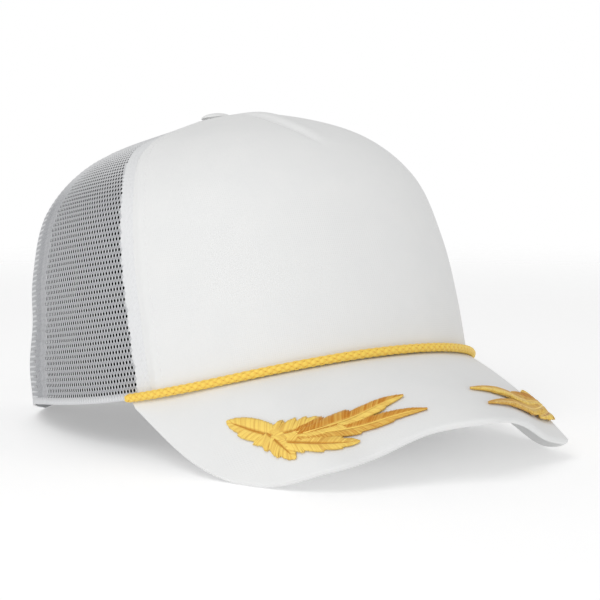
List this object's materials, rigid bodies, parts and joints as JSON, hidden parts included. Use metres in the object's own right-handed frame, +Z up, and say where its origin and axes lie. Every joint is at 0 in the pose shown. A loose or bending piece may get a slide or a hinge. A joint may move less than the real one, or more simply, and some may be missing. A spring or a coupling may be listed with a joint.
{
  "type": "trucker cap",
  "caption": "Foam-front trucker cap with net sides and back, curved peak with a twisted rope trim, embroidered leaf sprays and a snap strap",
  "frame": {"origin": "middle of the cap's bounding box, on the plane the cap rests on", "axes": "+Z up, -Y the way the peak points, +X the wearer's left"},
  "size_m": [0.17, 0.2706, 0.1343],
  "materials": {
    "white_foam_cloth": "smooth white knit bonded to foam",
    "white_cloth": "white woven cloth",
    "grey_net": "pale grey polyester net",
    "seam_tape": "white woven tape",
    "dark_band": "dark grey brushed cotton",
    "gold_cord": "braided satin cord",
    "gold_thread": "satin embroidery thread",
    "white_plastic": "moulded, satin"
  },
  "bodies": {
    "root": {"front_panel": "white_foam_cloth", "side_mesh_right": "grey_net", "side_mesh_left": "grey_net", "back_mesh_right": "grey_net", "back_mesh_left": "grey_net", "front_seam_right": "seam_tape", "front_seam_left": "seam_tape", "side_seam_right": "seam_tape", "side_seam_left": "seam_tape", "back_seam": "seam_tape", "opening_binding": "white_cloth", "sweatband": "dark_band", "peak": "white_cloth", "front_rope": "gold_cord", "leaf_spray_right": "gold_thread", "leaf_spray_left": "gold_thread", "strap_right": "white_plastic", "strap_left": "white_plastic", "top_button": "white_cloth"}
  },
  "joints": []
}
